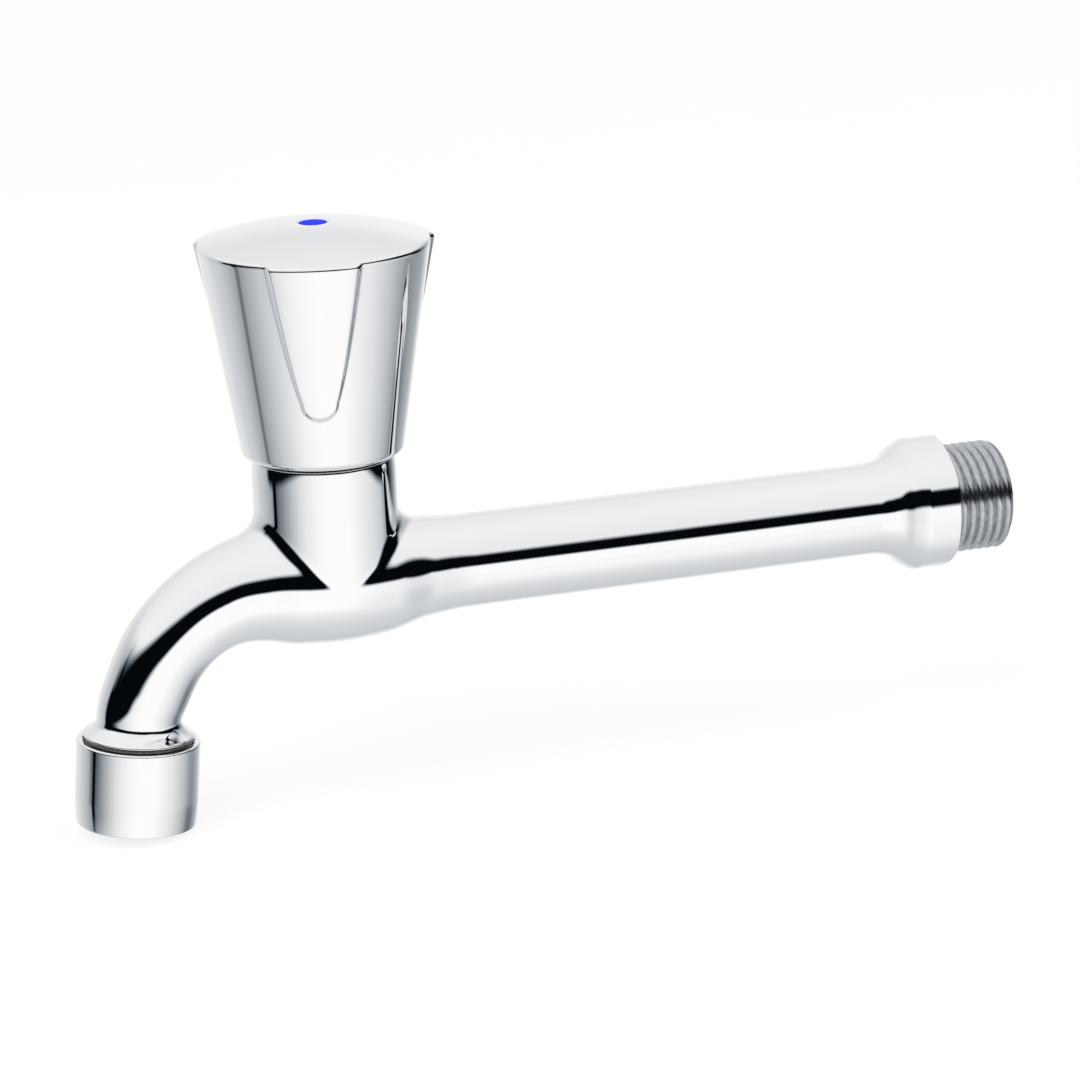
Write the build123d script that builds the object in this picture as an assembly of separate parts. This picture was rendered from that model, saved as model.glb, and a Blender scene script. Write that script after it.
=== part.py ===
from build123d import *
import math
import os

# Bib tap with a long arm, a curved spout and a three-rib knob.
# Millimetres, +Z up. The origin is the centre of the inlet's sealing shoulder,
# and +X runs along the arm towards the wall. Heights are above the arm's axis.

# Inlet
thread_r = 10.4775        # G 1/2 major radius
thread_pitch = 1.814
thread_depth = 1.16
thread_length = 11.85
thread_chamfer = 0.55
collar_across_flats = 23.9
collar_corner_r = 5.5
collar_start = -10.5      # where the flare leaves the arm
collar_full = -5.6        # where the flare reaches the hexagon's corners
collar_end_r = 12.7       # chamfer circle on the shoulder
collar_chamfer = 0.35
flare_r = 5.5

# Casting
valve_reach = 121.9       # shoulder to handle axis
arm_r = 8.7
tower_r = 13.3
tower_edge = 0.3
tower_blend_r = 5.0
# Barrel and spout, from the handle axis: x, z, half width, half height
spout_stations = [
    (34.0, 0.0, 8.7, 8.7),
    (26.0, 0.0, 8.75, 8.75),
    (17.9, 0.0, 9.9, 9.4),
    (9.6, 0.0, 12.4, 11.3),
    (1.0, 0.0, 13.4, 11.9),
    (-7.3, 0.2, 12.6, 11.6),
    (-14.2, -0.1, 10.6, 10.2),
    (-20.8, -1.6, 9.1, 9.1),
    (-27.8, -5.8, 8.4, 8.4),
    (-32.7, -11.4, 8.15, 8.15),
    (-35.6, -17.1, 8.0, 8.0),
    (-36.65, -20.0, 7.85, 7.85),
]

# Outlet, measured up its own leaning axis from the sleeve's top rim
outlet_x, outlet_z = -37.65, -26.05
outlet_lean = 4.85        # degrees, the lower end leans away from the wall
neck_s, neck_r = 3.9, 7.85
neck_overlap, neck_sink = 1.2, 0.3    # how far the spout and the lip run on inside each other
lip_s, lip_r, lip_edge = 0.7, 10.3, 0.15
spigot_r = 9.95
spigot_chamfer = 0.4
spigot_length = 7.0
spigot_bore_r = 7.6
sleeve_r = 11.41
sleeve_length = 15.95
sleeve_straight = 10.6
sleeve_end_r = 11.1
sleeve_edge = 0.35

# Waterway and valve
bore_r = 6.2
bore_end = 1.0            # centre of the inlet bore's round end
seat_bore_r = 4.8
seat_lip = 1.4
seat_z, seat_rise = 9.5, 1.5
chamber_r = 9.9
# Channel from the chamber to the spigot: x, z, radius
channel_stations = [
    (-9.0, 10.2, 4.0),
    (-10.7, 6.2, 4.0),
    (-14.4, 1.6, 4.4),
    (-20.8, -2.3, 5.0),
    (-27.6, -6.2, 5.4),
    (-32.7, -11.7, 5.4),
    (-35.8, -17.8, 5.4),
]
lift = 3.75               # valve lift at full opening
washer_r, washer_t = 7.2, 2.8
jumper_t, cup_depth = 1.5, 1.5
stem_length = 11.23       # the carrier's six-sided stem
guide_flats = 12.0
washer_screw_r, washer_screw_head_r, washer_screw_head_t = 2.0, 3.2, 1.3
washer_screw_grip = 2.0   # its length past the washer

# Headwork
gasket_t = 1.0
gasket_r = 12.1
bonnet_r, bonnet_screw_length = 10.3, 5.6
bonnet_flange_r, bonnet_flange_t = 12.2, 1.2
bonnet_flats, bonnet_nut_t = 21.0, 4.0
bonnet_neck_r = 7.6
gland_length = 10.8       # from under the spindle's thrust collar to the bonnet's top
spindle_screw_r, spindle_screw_length = 3.0, 9.7
thrust_r, thrust_t = 6.0, 1.8
thrust_washer_t = 0.56
shaft_r = 4.5
o_ring_cord = 1.2
o_ring_depths = (5.8, 2.4)            # below the bonnet's top
clip_groove_r, clip_r, clip_t = 3.9, 5.8, 0.9
spline_r, spline_root_r, spline_teeth = 4.0, 3.6, 20
spline_gap, spline_length = 3.0, 10.0
small_edge = 0.5          # chamfers on the headwork's pieces

# Handle
rim_r = 21.3
foot_r, foot_round = 14.8, 1.6
skirt_in_r, skirt_height = 12.75, 1.0
dome_rise = 3.4
handle_wall = 1.8
dome_wall = 2.5
rib_count = 3
rib_azimuth = -106.5      # the front rib, degrees from +X
rib_height, rib_tip_height = 1.2, 0.5
rib_start = 10.5          # above the knob's foot
rib_draft = 46.0          # of its side walls
# Half width of a rib's outermost face, by height above its tip, and how it widens past that
rib_widths = [(2.5, 3.0), (7.9, 4.2), (13.8, 5.3), (23.7, 6.95), (29.5, 7.75)]
rib_spread = 0.12
boss_r, boss_gap = 9.6, 4.0
web_t, web_gap = 1.6, 2.0
core_flats = 13.0
# Above the spindle's top: end of the core's socket, seat of the handle screw, core's top
core_socket_over, core_seat_over, core_over = 1.4, 4.0, 7.0
handle_screw_r, handle_screw_head_r, handle_screw_head_t = 1.5, 2.7, 2.1
handle_screw_length = 14.0
index_r, index_length = 2.95, 6.0
index_dot_r, index_dot_t = 2.6, 0.45
cut_over = 9.0            # how far blanks run past the rim before the dome cuts them

# Aerator
washer_seal_t = 1.6
ledge_s, ledge_r = -10.2, 9.0
cage_wall = 0.9
cage_end_s = -15.3
screen_t = 0.3
screen_hole_r, screen_pitch = 0.55, 1.75
diffuser_t, diffuser_holes, diffuser_hole_r = 1.5, 12, 0.65

# Clearances
screw_fit = 0.05          # radial, between screwed cylinders
running_fit = 0.05        # radial, on turning and sliding parts
seal_fit = 0.04           # radial, on rubber rings
seated = 0.02             # face to face, on parts that move against each other
lift_room = 0.4           # left above and below the carrier at its two ends
bonnet_gap = 0.43         # left between the lifted carrier and the bonnet
handle_gap = 0.4          # between the tower's top and the knob's foot
index_gap = 1.0           # under the index plug

# Heights that follow, stacked up from the valve seat
plate_top = seat_z + seated + washer_t + jumper_t
carrier_top = plate_top + stem_length
thrust_z = carrier_top + lift_room + lift
spindle_end = thrust_z - spindle_screw_length
carrier_bore_bottom = spindle_end - lift_room - lift
bonnet_bottom = plate_top + lift + bonnet_gap
tower_top = bonnet_bottom + bonnet_screw_length
bonnet_top = thrust_z + gland_length
spline_z = bonnet_top + spline_gap
spindle_top = spline_z + spline_length
boss_bottom = bonnet_top + boss_gap
core_top = spindle_top + core_over
index_bottom = core_top + index_gap
dome_top = index_bottom + index_length
rim_z = dome_top - dome_rise
handle_bottom = tower_top + handle_gap
rib_bottom = handle_bottom + rib_start


def cyl(r, z0, z1):
    """A disc or shaft about Z from height z0 to z1."""
    return Pos(0, 0, (z0 + z1) / 2) * Cylinder(r, abs(z1 - z0))


def ring(r_out, r_in, z0, z1):
    return cyl(r_out, z0, z1) - cyl(r_in, z0 - 1, z1 + 1)


def hex_prism(across_flats, z0, z1):
    flat = RegularPolygon(across_flats / 2, 6, major_radius=False)
    return extrude(Plane.XY.offset(z0) * flat, z1 - z0)


def turned(points):
    """Revolves a closed outline of (radius, height) points about Z."""
    return revolve(Plane.XZ * make_face(Polyline(*points, close=True)), Axis.Z)


def outlet_place():
    """The outlet's own axis, with Z up it and its zero on the sleeve's top rim."""
    return Pos(outlet_x, 0, outlet_z) * Rot(0, outlet_lean, 0)


def on_x(shape):
    """Turns a shape made about Z so that its axis is +X."""
    return Rot(0, 90, 0) * shape


def eased(knots, values, u):
    """Value at u on a smooth curve through the knots that never overshoots them."""
    spans = [b - a for a, b in zip(knots, knots[1:])]
    rises = [(b - a) / s for a, b, s in zip(values, values[1:], spans)]
    slopes = [0.0] + [
        0.0 if a * b <= 0 else 2 * a * b / (a + b) for a, b in zip(rises, rises[1:])
    ] + [0.0]
    i = max([k for k in range(len(spans)) if knots[k] <= u] or [0])
    t = (u - knots[i]) / spans[i]
    return (
        values[i] * (1 - t) ** 2 * (1 + 2 * t)
        + values[i + 1] * t ** 2 * (3 - 2 * t)
        + spans[i] * t * (1 - t) * (slopes[i] * (1 - t) - slopes[i + 1] * t)
    )


def tube(stations, sections, tangents):
    """Lofts ellipses along the curve through stations of x, z, half width, half height."""
    points = [(x, 0, z) for x, z, _, _ in stations]
    path = Spline(*points, tangents=tangents)
    knots = [path.param_at_point(p) for p in points]
    faces = []
    for k in range(sections):
        u = k / (sections - 1)
        half_width = eased(knots, [s[2] for s in stations], u)
        half_height = eased(knots, [s[3] for s in stations], u)
        plane = Plane(origin=path @ u, x_dir=(0, 1, 0), z_dir=path % u)
        faces.append(plane * Ellipse(half_width, half_height))
    return loft(faces)


def inlet_thread():
    """The pipe thread's crests and grooves, as rings of its own pitch."""
    half_crest, half_root = 0.16, 0.12
    stud = cyl(thread_r, 0, thread_length)
    stud = chamfer(stud.edges().group_by(Axis.Z)[-1], thread_chamfer)
    root_r, over_r = thread_r - thread_depth, thread_r + 0.05
    half_mouth = thread_pitch / 2 - half_crest
    cutter = turned([
        (root_r, -half_root), (over_r, -half_mouth), (over_r, half_mouth), (root_r, half_root)
    ])
    grooves = int((thread_length - thread_chamfer) / thread_pitch - 0.4)
    for i in range(grooves):
        stud -= Pos(0, 0, thread_pitch * (i + 0.75)) * cutter
    return on_x(stud)


def collar():
    """Hexagon for the spanner, with the flare that joins it to the arm."""
    centre = (collar_across_flats / 2 - collar_corner_r) / math.cos(math.pi / 6)
    reach = centre + collar_corner_r + 0.05
    start = collar_start - 4 * flare_r
    flare = FilletPolyline(
        (arm_r, start), (arm_r, collar_start), (reach, collar_full), (reach, -collar_chamfer),
        radius=flare_r,
    )
    back = Polyline((reach, -collar_chamfer), (collar_end_r, 0), (0, 0), (0, start), (arm_r, start))
    solid = revolve(Plane.XZ * make_face(flare + back), Axis.Z)
    prism = hex_prism(collar_across_flats, start - 1, 1)
    prism = fillet(prism.edges().filter_by(Axis.Z), collar_corner_r)
    return on_x(solid & prism)


def lean_down():
    lean = math.radians(outlet_lean)
    return (-math.sin(lean), 0, -math.cos(lean))


def on_outlet(s):
    """The point of the outlet's axis at height s, as x and z."""
    place = (outlet_place() * Pos(0, 0, s)).position
    return place.X, place.Z


def spout_skin():
    ends = [(*on_outlet(s), neck_r, neck_r) for s in (neck_s, neck_s - neck_overlap)]
    return tube(spout_stations + ends, 24, [(-1, 0, 0), lean_down()])


def spout_lip():
    """Flared end of the spout and the spigot below it, about the outlet axis."""
    rise = neck_s - lip_s
    top_r = neck_r - neck_sink
    flare = Spline(
        (top_r, neck_s),
        (neck_r + 0.45, lip_s + 0.58 * rise),
        (lip_r - 0.35, lip_s + 0.2 * rise),
        (lip_r, lip_s + lip_edge),
        tangents=[(0.4, -1), (0.25, -1)],
    )
    back = Polyline(
        (lip_r, lip_s + lip_edge), (lip_r - lip_edge, lip_s), (spigot_r, lip_s),
        (spigot_r, spigot_chamfer - spigot_length), (spigot_r - spigot_chamfer, -spigot_length),
        (0, -spigot_length), (0, neck_s), (top_r, neck_s),
    )
    return outlet_place() * revolve(Plane.XZ * make_face(flare + back), Axis.Z)


def waterway():
    """Every hollow of the casting, to be cut in one go."""
    end = valve_reach + thread_length + 1
    inlet = Pos((bore_end + end) / 2, 0, 0) * on_x(Cylinder(bore_r, end - bore_end))
    inlet += Pos(bore_end, 0, 0) * Sphere(bore_r)
    chamber = cyl(chamber_r, seat_z - seat_rise, bonnet_bottom)
    chamber -= ring(seat_bore_r + seat_lip, seat_bore_r, seat_z - seat_rise - 1, seat_z)
    mouth = cyl(bonnet_r + screw_fit, bonnet_bottom - 0.5, tower_top + 1)
    stations = [(x, z, r, r) for x, z, r in channel_stations]
    stations.append((*on_outlet(-1), channel_stations[-1][2], channel_stations[-1][2]))
    channel = tube(stations, 12, [(0, 0, -1), lean_down()])
    spigot = outlet_place() * cyl(spigot_bore_r, -spigot_length - 1, -0.5)
    return inlet + cyl(seat_bore_r, 0, seat_z + 1) + chamber + mouth + channel + spigot


def tap_body():
    arm_end = spout_stations[0][0]
    arm = on_x(Cylinder(arm_r, valve_reach - arm_end))
    tower = cyl(tower_r, 0, tower_top)
    outer = spout_skin() + chamfer(tower.edges().group_by(Axis.Z)[-1], tower_edge)
    seam = [
        e for e in outer.edges()
        if e.length > 1 and 0.5 < e.center().Z < tower_top - 2
        and math.hypot(e.center().X, e.center().Y) < tower_r + 1
    ]
    outer = fillet(seam, tower_blend_r)
    outer = outer + Pos((arm_end + valve_reach) / 2, 0, 0) * arm + spout_lip()
    outer = outer + Pos(valve_reach, 0, 0) * (collar() + inlet_thread())
    return outer - waterway()


def bonnet_gasket():
    return ring(gasket_r, bonnet_r + 2 * screw_fit, tower_top, tower_top + gasket_t)


def thrust_ceiling():
    """Height of the bonnet's shoulder that holds the spindle down."""
    return thrust_z + thrust_t + thrust_washer_t + 2 * seated


def bonnet():
    seat = tower_top + gasket_t
    flange_top = seat + bonnet_flange_t
    nut_top = flange_top + bonnet_nut_t
    shape = cyl(bonnet_r, bonnet_bottom, seat) + cyl(bonnet_flange_r, seat, flange_top)
    shape += hex_prism(bonnet_flats, flange_top, nut_top) & turned([
        (0, seat), (bonnet_flange_r, seat), (bonnet_flange_r, nut_top - 1.2),
        (bonnet_flats / 2 - 0.1, nut_top), (0, nut_top),
    ])
    shape += cyl(bonnet_neck_r, seat, bonnet_top)
    shape = chamfer(shape.edges().group_by(Axis.Z)[-1], small_edge)
    shape -= hex_prism(guide_flats + 4 * running_fit, bonnet_bottom - 1, thrust_z - lift_room / 2)
    shape -= cyl(thrust_r + running_fit, thrust_z - 0.75 * lift_room, thrust_ceiling())
    return shape - cyl(shaft_r + running_fit, bonnet_bottom, bonnet_top + 1)


def spline_outline(outer_r, root_r, teeth):
    """Toothed outline with straight flanks."""
    points = []
    step = 2 * math.pi / teeth
    for i in range(teeth):
        for share, r in ((-0.38, root_r), (-0.14, outer_r), (0.14, outer_r), (0.38, root_r)):
            angle = (i + share) * step
            points.append((r * math.cos(angle), r * math.sin(angle)))
    return make_face(Polyline(*points, close=True))


def o_ring_groove_r():
    return shaft_r + running_fit - seal_fit - o_ring_cord - seal_fit


def spindle():
    collar_top = thrust_z + thrust_t
    shape = cyl(spindle_screw_r, spindle_end, thrust_z)
    shape = chamfer(shape.edges().group_by(Axis.Z)[0], small_edge)
    shape += cyl(thrust_r, thrust_z, collar_top)
    shape += cyl(shaft_r, collar_top, spline_z - 0.8)
    shape += cyl(spline_root_r, collar_top, spindle_top)
    teeth = spline_outline(spline_r, spline_root_r, spline_teeth)
    shape += extrude(Plane.XY.offset(spline_z) * teeth, spindle_top - spline_z)
    for depth in o_ring_depths:
        z, half = bonnet_top - depth, o_ring_cord / 2 + 0.15
        shape -= ring(shaft_r + 1, o_ring_groove_r(), z - half, z + half)
    groove = bonnet_top + 0.1
    shape -= ring(shaft_r + 1, clip_groove_r, groove, groove + clip_t + 0.1)
    hole = spindle_top - handle_screw_length
    return shape - cyl(handle_screw_r + screw_fit, hole, spindle_top + 1)


def spindle_o_ring(depth):
    cord_r = o_ring_cord / 2
    return Pos(0, 0, bonnet_top - depth) * Torus(o_ring_groove_r() + seal_fit + cord_r, cord_r)


def thrust_washer():
    bottom = thrust_z + thrust_t
    return ring(thrust_r - 0.15, shaft_r + 2 * running_fit, bottom, bottom + thrust_washer_t)


def retaining_ring():
    bottom = bonnet_top + 0.15
    shape = ring(clip_r, clip_groove_r + screw_fit, bottom, bottom + clip_t)
    return shape - Pos(clip_r, 0, bottom) * Box(2 * clip_r, 2.6, 4)


def valve_carrier():
    """Sliding jumper: six-sided stem, screwed bore, and the cup that holds the washer."""
    plate = plate_top - jumper_t
    cup_r = washer_r + 0.7
    shape = cyl(cup_r, plate, plate_top) + ring(cup_r, washer_r + screw_fit, plate - cup_depth, plate)
    stem = hex_prism(guide_flats, plate_top, carrier_top)
    shape += chamfer(stem.edges().group_by(Axis.Z)[-1], small_edge)
    shape -= cyl(spindle_screw_r + running_fit, carrier_bore_bottom, carrier_top + 1)
    return shape - cyl(washer_screw_r + screw_fit, plate - 1, plate + washer_screw_grip + 0.2)


def valve_washer():
    bottom = seat_z + seated
    shape = cyl(washer_r, bottom, bottom + washer_t)
    shape = chamfer(shape.edges().group_by(Axis.Z)[0], small_edge)
    return shape - cyl(washer_screw_r + screw_fit, bottom - 1, bottom + washer_t + 1)


def washer_screw():
    bottom = seat_z + seated
    underside = bottom - washer_screw_head_t
    head = cyl(washer_screw_head_r, underside, bottom)
    head = chamfer(head.edges().group_by(Axis.Z)[0], 0.3)
    shape = head + cyl(washer_screw_r, bottom, bottom + washer_t + washer_screw_grip)
    return shape - Pos(0, 0, underside) * Box(2 * washer_screw_head_r + 1, 0.9, 1.2)


def cone_r(z):
    return foot_r + (rim_r - foot_r) * (z - handle_bottom) / (rim_z - handle_bottom)


def dome_ball(inset=0.0):
    """Sphere through the handle's rim and the middle of its top."""
    r = (rim_r ** 2 + dome_rise ** 2) / (2 * dome_rise)
    return Pos(0, 0, dome_top - r) * Sphere(r - inset)


def knob_cone(bottom, bottom_r, top_r):
    """A cone that widens upwards past the dome, with its foot rounded."""
    top = rim_z + cut_over
    profile = make_face(Polyline((0, bottom), (bottom_r, bottom), (top_r, top), (0, top), close=True))
    foot = profile.vertices().group_by(Axis.Y)[0].sort_by(Axis.X)[-1]
    return revolve(Plane.XZ * fillet(foot, foot_round), Axis.Z)


def rib_outline(grow):
    """Arch-shaped outline of a rib above its own tip, widened all round by grow."""
    half = [(0, 0), (0.7 * rib_widths[0][1], 0.7)] + [(w, z) for z, w in rib_widths]
    past = rim_z + cut_over - 0.6 - rib_bottom
    last_z, last_w = rib_widths[-1]
    half.append((last_w + rib_spread * (past - last_z), past))
    points = []
    for k, (w, z) in enumerate(half):
        before, after = half[max(k - 1, 0)], half[min(k + 1, len(half) - 1)]
        dw, dz = after[0] - before[0], after[1] - before[1]
        if k == 0:
            dw, dz = 1, 0
        size = math.hypot(dw, dz)
        points.append((w + grow * dz / size, z - grow * dw / size))
    left = [(-w, z) for w, z in reversed(points[1:])]
    line = Spline(*(left + points), tangents=[(0.05, -1), (0.05, 1)])
    return make_face(line + Line(points[-1], left[0]))


def handle_rib():
    """One raised pad with sloping side walls, pointing along +X."""
    top = rim_z + cut_over
    low_r = cone_r(rib_bottom) + rib_tip_height
    spread = (rib_height - rib_tip_height) / (rim_z - rib_bottom)
    high_r = cone_r(top) + rib_height + spread * (top - rim_z)
    outwards = Vector(top - rib_bottom, 0, low_r - high_r).normalized()
    faces = []
    for inset in (0.0, 5.0):
        outline = rib_outline(inset * math.tan(math.radians(rib_draft)))
        origin = Vector(low_r, 0, rib_bottom) - outwards * inset
        faces.append(Plane(origin=origin, x_dir=(0, 1, 0), z_dir=outwards) * outline)
    below = 6.0
    below_r = low_r - below * (high_r - low_r) / (top - rib_bottom)
    return loft(faces, ruled=True) & knob_cone(rib_bottom - below, below_r, high_r)


def handle_shell():
    top = rim_z + cut_over
    outer = knob_cone(handle_bottom, foot_r, cone_r(top))
    for i in range(rib_count):
        outer += Rot(0, 0, rib_azimuth + i * 360 / rib_count) * handle_rib()
    outer = outer & dome_ball()
    skirt_top = handle_bottom + skirt_height
    cavity = turned([
        (0, handle_bottom - 1), (skirt_in_r, handle_bottom - 1), (skirt_in_r, skirt_top),
        (cone_r(skirt_top + 1.5) - handle_wall, skirt_top + 1.5),
        (cone_r(top) - handle_wall, top), (0, top),
    ])
    cavity = cavity & dome_ball(dome_wall)
    cavity -= cyl(boss_r, boss_bottom, top)
    web_bottom = boss_bottom + web_gap
    for i in range(rib_count):
        web = Pos(boss_r + rim_r - 1, 0, (web_bottom + top) / 2) * Box(2 * rim_r, web_t, top - web_bottom)
        cavity -= Rot(0, 0, rib_azimuth + i * 360 / rib_count) * web
    shape = outer - cavity
    shape -= hex_prism(core_flats + 2 * screw_fit, boss_bottom - 1, core_top)
    return shape - cyl(index_r + screw_fit, core_top - 1, top)


def handle_core():
    """Six-sided bush with the toothed socket that grips the spindle."""
    shape = hex_prism(core_flats, boss_bottom, core_top)
    socket = spline_outline(spline_r + 2 * screw_fit, spline_root_r + 2 * screw_fit, spline_teeth)
    depth = spindle_top + core_socket_over - boss_bottom
    shape -= extrude(Plane.XY.offset(boss_bottom - 1) * socket, depth)
    seat = spindle_top + core_seat_over
    shape -= cyl(handle_screw_r + 2 * screw_fit, boss_bottom, core_top + 1)
    return shape - cyl(handle_screw_head_r + 0.3, seat, core_top + 1)


def handle_screw():
    seat = spindle_top + core_seat_over
    head = cyl(handle_screw_head_r, seat, seat + handle_screw_head_t)
    head = fillet(head.edges().group_by(Axis.Z)[-1], 0.6)
    shape = head + cyl(handle_screw_r, seat - handle_screw_length, seat)
    for turn in (0, 90):
        slot = Box(3.4, 0.75, 2.4)
        shape -= Pos(0, 0, seat + handle_screw_head_t) * Rot(0, 0, turn) * slot
    return shape


def index_plug():
    """Small plug that closes the screw hole and carries the coloured disc."""
    body = cyl(index_r, index_bottom, dome_top + 1) & dome_ball()
    return body - cyl(index_dot_r + seal_fit, dome_top - index_dot_t, dome_top + 1)


def index_disc():
    body = cyl(index_dot_r, dome_top - index_dot_t, dome_top + 1)
    return body & dome_ball()


def outlet_sleeve():
    line = Spline(
        (sleeve_r, -sleeve_straight),
        (sleeve_r - 0.12, -(sleeve_straight + sleeve_length) / 2),
        (sleeve_end_r, -sleeve_length + sleeve_edge),
        tangents=[(0, -1), (-0.22, -1)],
    )
    rest = Polyline(
        (sleeve_end_r, -sleeve_length + sleeve_edge),
        (sleeve_end_r - sleeve_edge, -sleeve_length),
        (ledge_r + 0.3, -sleeve_length), (ledge_r, -sleeve_length + 0.3),
        (ledge_r, ledge_s), (spigot_r + screw_fit, ledge_s),
        (spigot_r + screw_fit, -0.5), (spigot_r + screw_fit + 0.5, 0),
        (sleeve_r - sleeve_edge, 0), (sleeve_r, -sleeve_edge), (sleeve_r, -sleeve_straight),
    )
    return outlet_place() * revolve(Plane.XZ * make_face(line + rest), Axis.Z)


def outlet_gasket():
    bottom = -spigot_length - washer_seal_t
    return outlet_place() * ring(spigot_r - 0.1, spigot_bore_r, bottom, -spigot_length)


def cage_heights():
    """Where the aerator's three discs rest, from the top down."""
    top = -spigot_length - washer_seal_t
    return top, top - 0.6, ledge_s - 1.9, cage_end_s + 0.7


def aerator_cage():
    top, upper, middle, lower = cage_heights()
    out_r = ledge_r - 2 * screw_fit
    in_r = out_r - cage_wall
    return outlet_place() * turned([
        (in_r + 0.5, top), (spigot_r - 0.1, top), (spigot_r - 0.1, ledge_s), (out_r, ledge_s),
        (out_r, cage_end_s), (in_r - 0.8, cage_end_s), (in_r - 0.8, lower), (in_r, lower),
        (in_r, middle - 0.5), (in_r - 0.6, middle - 0.5), (in_r - 0.6, middle),
        (in_r, middle), (in_r, upper - 0.4), (in_r - 0.4, upper - 0.4), (in_r - 0.4, upper),
        (in_r + 0.5, upper),
    ])


def perforated(r, z, thickness, holes):
    disc = cyl(r, z, z + thickness)
    drills = [Pos(x, y, z) * Cylinder(hole_r, 4 * thickness) for x, y, hole_r in holes]
    return disc - drills


def screen_holes(r):
    """Holes of a round screen on a triangular grid."""
    holes, rows = [], int(r / screen_pitch) + 1
    for j in range(-rows, rows + 1):
        for i in range(-rows, rows + 1):
            x = (i + (j % 2) / 2) * screen_pitch
            y = j * screen_pitch * math.sqrt(3) / 2
            if math.hypot(x, y) < r - 2 * screen_hole_r:
                holes.append((x, y, screen_hole_r))
    return holes


def aerator_screen(level):
    """A pierced disc: level 1 is the inlet screen and level 3 the outlet screen."""
    r = ledge_r - 2 * screw_fit - cage_wall + (0.45 if level == 1 else -0.05)
    return outlet_place() * perforated(r, cage_heights()[level], screen_t, screen_holes(r - 0.8))


def aerator_diffuser():
    r = ledge_r - 2 * screw_fit - cage_wall - 0.05
    holes = []
    for i in range(diffuser_holes):
        angle = 2 * math.pi * i / diffuser_holes
        holes.append((0.68 * r * math.cos(angle), 0.68 * r * math.sin(angle), diffuser_hole_r))
    return outlet_place() * perforated(r, cage_heights()[2], diffuser_t, holes)


def main():
    nodes = {
        "tap_body": tap_body(),
        "bonnet_gasket": bonnet_gasket(),
        "bonnet": bonnet(),
        "spindle": spindle(),
        "spindle_o_ring_lower": spindle_o_ring(o_ring_depths[0]),
        "spindle_o_ring_upper": spindle_o_ring(o_ring_depths[1]),
        "thrust_washer": thrust_washer(),
        "retaining_ring": retaining_ring(),
        "valve_carrier": valve_carrier(),
        "valve_washer": valve_washer(),
        "washer_screw": washer_screw(),
        "handle_shell": handle_shell(),
        "handle_core": handle_core(),
        "handle_screw": handle_screw(),
        "index_plug": index_plug(),
        "index_disc": index_disc(),
        "outlet_sleeve": outlet_sleeve(),
        "outlet_gasket": outlet_gasket(),
        "aerator_cage": aerator_cage(),
        "aerator_inlet_screen": aerator_screen(1),
        "aerator_diffuser": aerator_diffuser(),
        "aerator_outlet_screen": aerator_screen(3),
    }
    os.makedirs("parts", exist_ok=True)
    for name, shape in nodes.items():
        export_step(Pos(-valve_reach, 0, 0) * shape, f"parts/{name}.step")


main()
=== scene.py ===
import math

import bmesh
import bpy
import numpy as np
from mathutils import Matrix, Vector


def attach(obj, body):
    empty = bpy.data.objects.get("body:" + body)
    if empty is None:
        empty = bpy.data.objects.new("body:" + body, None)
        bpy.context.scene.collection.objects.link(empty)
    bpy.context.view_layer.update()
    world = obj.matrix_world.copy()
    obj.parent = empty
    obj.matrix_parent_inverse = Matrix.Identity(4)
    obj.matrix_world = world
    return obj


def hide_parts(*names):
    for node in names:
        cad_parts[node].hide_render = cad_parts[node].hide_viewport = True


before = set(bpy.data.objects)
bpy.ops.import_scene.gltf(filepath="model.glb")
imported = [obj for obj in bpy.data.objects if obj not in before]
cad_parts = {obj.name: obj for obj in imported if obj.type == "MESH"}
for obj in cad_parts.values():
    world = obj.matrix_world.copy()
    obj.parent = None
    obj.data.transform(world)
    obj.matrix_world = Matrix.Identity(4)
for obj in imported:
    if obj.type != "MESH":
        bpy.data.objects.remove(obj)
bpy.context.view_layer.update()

# Shapes are worked out in millimetres from the handle's axis, and make() moves them to the
# part's frame, whose origin is the inlet's sealing shoulder.
MM = 0.001
REACH = 121.9             # shoulder to handle axis
THIRD = 2 * math.pi / 3   # the knob's three ribs repeat at this angle

ARM_R = 8.7
TOWER_R, TOWER_TOP, TOWER_BLEND = 13.3, 23.6, 5.0
TOWER_STRAIGHT, TOWER_EASE = 19.2, 0.0145     # height where it starts to draw in, and how fast
SCREW_SEAT_R, SCREW_SEAT_Z = 10.35, 17.5      # the bonnet's hollow in the tower
CHAMBER_R, CHAMBER_Z = 9.9, 8.0
SEAT_R, SEAT_BORE, SEAT_Z, SEAT_FOOT_Z = 6.2, 4.8, 9.5, 6.8
# Barrel and spout: x, z, half width, half height
STATIONS = np.array([
    (34.0, 0.0, 8.7, 8.7),
    (26.0, 0.0, 8.75, 8.75),
    (17.9, 0.0, 9.9, 9.4),
    (9.6, 0.0, 12.4, 11.3),
    (1.0, 0.0, 13.4, 11.9),
    (-7.3, 0.2, 12.6, 11.6),
    (-14.2, -0.1, 10.6, 10.2),
    (-20.8, -1.6, 9.1, 9.1),
    (-27.8, -5.8, 8.4, 8.4),
    (-32.7, -11.4, 8.15, 8.15),
    (-35.6, -17.1, 8.0, 8.0),
    (-36.85, -20.0, 7.87, 7.87),
])
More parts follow.
